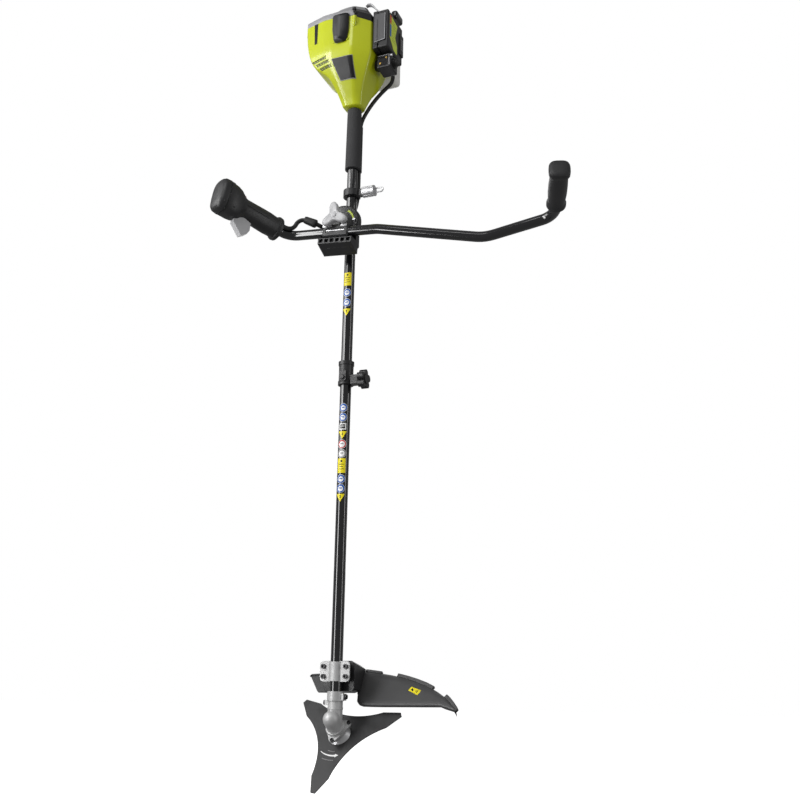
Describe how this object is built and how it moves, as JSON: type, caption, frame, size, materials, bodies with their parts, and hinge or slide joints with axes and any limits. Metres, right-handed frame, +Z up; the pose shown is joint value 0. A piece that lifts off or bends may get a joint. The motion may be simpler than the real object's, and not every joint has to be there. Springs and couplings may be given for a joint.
{
  "type": "brush cutter",
  "caption": "Petrol brush cutter with a split boom, bull-horn handlebar, harness hanger, guard and three-tooth steel blade.",
  "frame": {"origin": "on the boom's axis, at the middle of the harness clamp", "axes": "+Z up the boom to the engine; -Y is the side that faces up in use; +X is the operator's left"},
  "size_m": [0.7639, 0.3531, 1.7336],
  "materials": {
    "green_shell": "glossy",
    "grey_shell": "satin",
    "black_plastic": "matte",
    "pale_plastic": "satin",
    "tank_white": "translucent satin",
    "boom_black": "gloss",
    "foam_black": "matte foam",
    "cast_alloy": "bead blasted",
    "machined_steel": "satin",
    "blade_steel": "satin",
    "guard_grey": "satin",
    "rubber_black": "matte",
    "red_plastic": "glossy",
    "filter_foam": "open foam",
    "cord_black": "braided",
    "iron": "raw"
  },
  "bodies": {
    "boom": {"upper_tube": "boom_black", "foam_grip": "foam_black", "harness_clamp": "black_plastic", "coupler_body": "black_plastic", "swivel_base": "black_plastic", "clamp_screws": "machined_steel", "throttle_cable_free": "rubber_black", "throttle_cable_tube": "rubber_black", "engine_shroud": "green_shell", "plug_cover": "black_plastic", "starter_housing": "grey_shell", "crankcase": "cast_alloy", "cylinder": "cast_alloy", "piston": "cast_alloy", "connecting_rod": "machined_steel", "crankshaft": "machined_steel", "flywheel_fan": "cast_alloy", "clutch_shoes": "machined_steel", "spark_plug": "machined_steel", "muffler": "iron", "carburettor": "black_plastic", "filter_base": "black_plastic", "filter_element": "filter_foam", "fuel_tank": "tank_white"},
    "upper_drive": {"upper_driveshaft": "machined_steel", "clutch_drum": "machined_steel"},
    "lower_boom": {"lower_tube": "boom_black", "gearbox_case": "cast_alloy", "gearbox_flange": "cast_alloy", "gear_bearings": "machined_steel", "guard": "guard_grey", "guard_saddle": "cast_alloy", "lower_screws": "machined_steel"},
    "lower_drive": {"lower_driveshaft": "machined_steel", "pinion": "machined_steel"},
    "blade_head": {"spindle": "machined_steel", "ring_gear": "machined_steel", "blade_clamp_set": "machined_steel", "blade": "blade_steel"},
    "bar": {"handlebar_bracket": "black_plastic", "handlebar_cap": "black_plastic", "handlebar": "boom_black", "left_grip": "black_plastic", "throttle_housing": "black_plastic"},
    "clamp_knob": {"clamp_knob": "pale_plastic"},
    "coupler_knob": {"coupler_knob": "black_plastic"},
    "coupler_button": {"coupler_button": "black_plastic"},
    "harness_hanger": {"harness_hanger": "machined_steel", "harness_loop": "machined_steel"},
    "throttle_trigger": {"throttle_trigger": "pale_plastic"},
    "throttle_lockout": {"throttle_lockout": "pale_plastic"},
    "stop_switch": {"stop_switch": "red_plastic"},
    "choke_lever": {"choke_lever": "pale_plastic"},
    "primer_bulb": {"primer_bulb": "rubber_black"},
    "fuel_cap": {"fuel_cap": "black_plastic"},
    "filter_cover": {"filter_cover": "black_plastic"},
    "filter_latch": {"filter_latch": "black_plastic"},
    "starter_grip": {"starter_grip": "black_plastic", "starter_rope": "cord_black"},
    "starter_pulley": {"starter_pulley": "grey_shell"}
  },
  "joints": [
    {"name": "lower_boom_slide", "type": "slide", "parent": "boom", "child": "lower_boom", "axis": [0, 0, -1], "range_m": [0, 0.06]},
    {"name": "blade_spin", "type": "hinge", "parent": "lower_boom", "child": "blade_head", "pos_m": [0, 0, -1.142], "axis": [0, 0.7986, -0.6018], "continuous": true},
    {"name": "lower_drive_spin", "type": "hinge", "parent": "lower_boom", "child": "lower_drive", "pos_m": [0, 0, -1.142], "axis": [0, 0, 1], "continuous": true},
    {"name": "upper_drive_spin", "type": "hinge", "parent": "boom", "child": "upper_drive", "pos_m": [0, 0, 0], "axis": [0, 0, 1], "continuous": true},
    {"name": "handlebar_swivel", "type": "hinge", "parent": "boom", "child": "bar", "pos_m": [0, -0.036, -0.092], "axis": [0, 1, 0], "range_deg": [-5, 85], "deforming": ["throttle_cable_free"]},
    {"name": "clamp_knob_turn", "type": "hinge", "parent": "bar", "child": "clamp_knob", "pos_m": [0, -0.08, -0.092], "axis": [0, 1, 0], "continuous": true},
    {"name": "coupler_knob_turn", "type": "hinge", "parent": "boom", "child": "coupler_knob", "pos_m": [0.04, 0, -0.442], "axis": [1, 0, 0], "continuous": true},
    {"name": "coupler_button_press", "type": "slide", "parent": "boom", "child": "coupler_button", "axis": [0, 1, 0], "range_m": [0, 0.0025], "stiffness_N_per_m": 900, "springref_m": -0.001},
    {"name": "harness_hanger_turn", "type": "hinge", "parent": "boom", "child": "harness_hanger", "pos_m": [0.02, 0, 0], "axis": [1, 0, 0], "continuous": true},
    {"name": "throttle_squeeze", "type": "hinge", "parent": "bar", "child": "throttle_trigger", "pos_m": [-0.17952, -0.18746, -0.10442], "axis": [0.9091, -0.4165, 0], "range_deg": [0, 15], "stiffness_Nm_per_rad": 0.6, "springref_deg": -6.88},
    {"name": "lockout_press", "type": "slide", "parent": "bar", "child": "throttle_lockout", "axis": [-0.0749, -0.1635, -0.9837], "range_m": [0, 0.003], "stiffness_N_per_m": 400, "springref_m": -0.001},
    {"name": "stop_switch_slide", "type": "slide", "parent": "bar", "child": "stop_switch", "axis": [0.4097, 0.8943, -0.1799], "range_m": [0, 0.005]},
    {"name": "choke_turn", "type": "hinge", "parent": "boom", "child": "choke_lever", "pos_m": [0.09, -0.044, 0.426], "axis": [0, 0, 1], "range_deg": [0, 40]},
    {"name": "primer_press", "type": "slide", "parent": "boom", "child": "primer_bulb", "axis": [-1, 0, 0], "range_m": [0, 0.0035], "stiffness_N_per_m": 500, "springref_m": -0.001},
    {"name": "fuel_cap_turn", "type": "hinge", "parent": "boom", "child": "fuel_cap", "pos_m": [-0.09, 0.077, 0.362], "axis": [1, 0, 0], "continuous": true},
    {"name": "filter_cover_swing", "type": "hinge", "parent": "boom", "child": "filter_cover", "pos_m": [0.0801, -0.06, 0.375], "axis": [0, 0, -1], "range_deg": [0, 90]},
    {"name": "filter_latch_turn", "type": "hinge", "parent": "filter_cover", "child": "filter_latch", "pos_m": [0.1035, 0.0085, 0.375], "axis": [0, 0, -1], "range_deg": [0, 30]},
    {"name": "starter_pull", "type": "slide", "parent": "boom", "child": "starter_grip", "axis": [1, 0, 0], "range_m": [0, 0.6], "stiffness_N_per_m": 4, "springref_m": -1.2, "deforming": ["starter_rope"]},
    {"name": "starter_pulley_turn", "type": "hinge", "parent": "boom", "child": "starter_pulley", "pos_m": [0, 0, 0.451], "axis": [0, 0, 1], "range_deg": [0, 1376]}
  ],
  "couplings": [
    {"joint": "lower_drive_spin", "follows": "blade_spin", "ratio": 1.3846},
    {"joint": "upper_drive_spin", "follows": "blade_spin", "ratio": 1.3846},
    {"joint": "starter_pulley_turn", "follows": "starter_pull", "rad_per_m": 40}
  ]
}
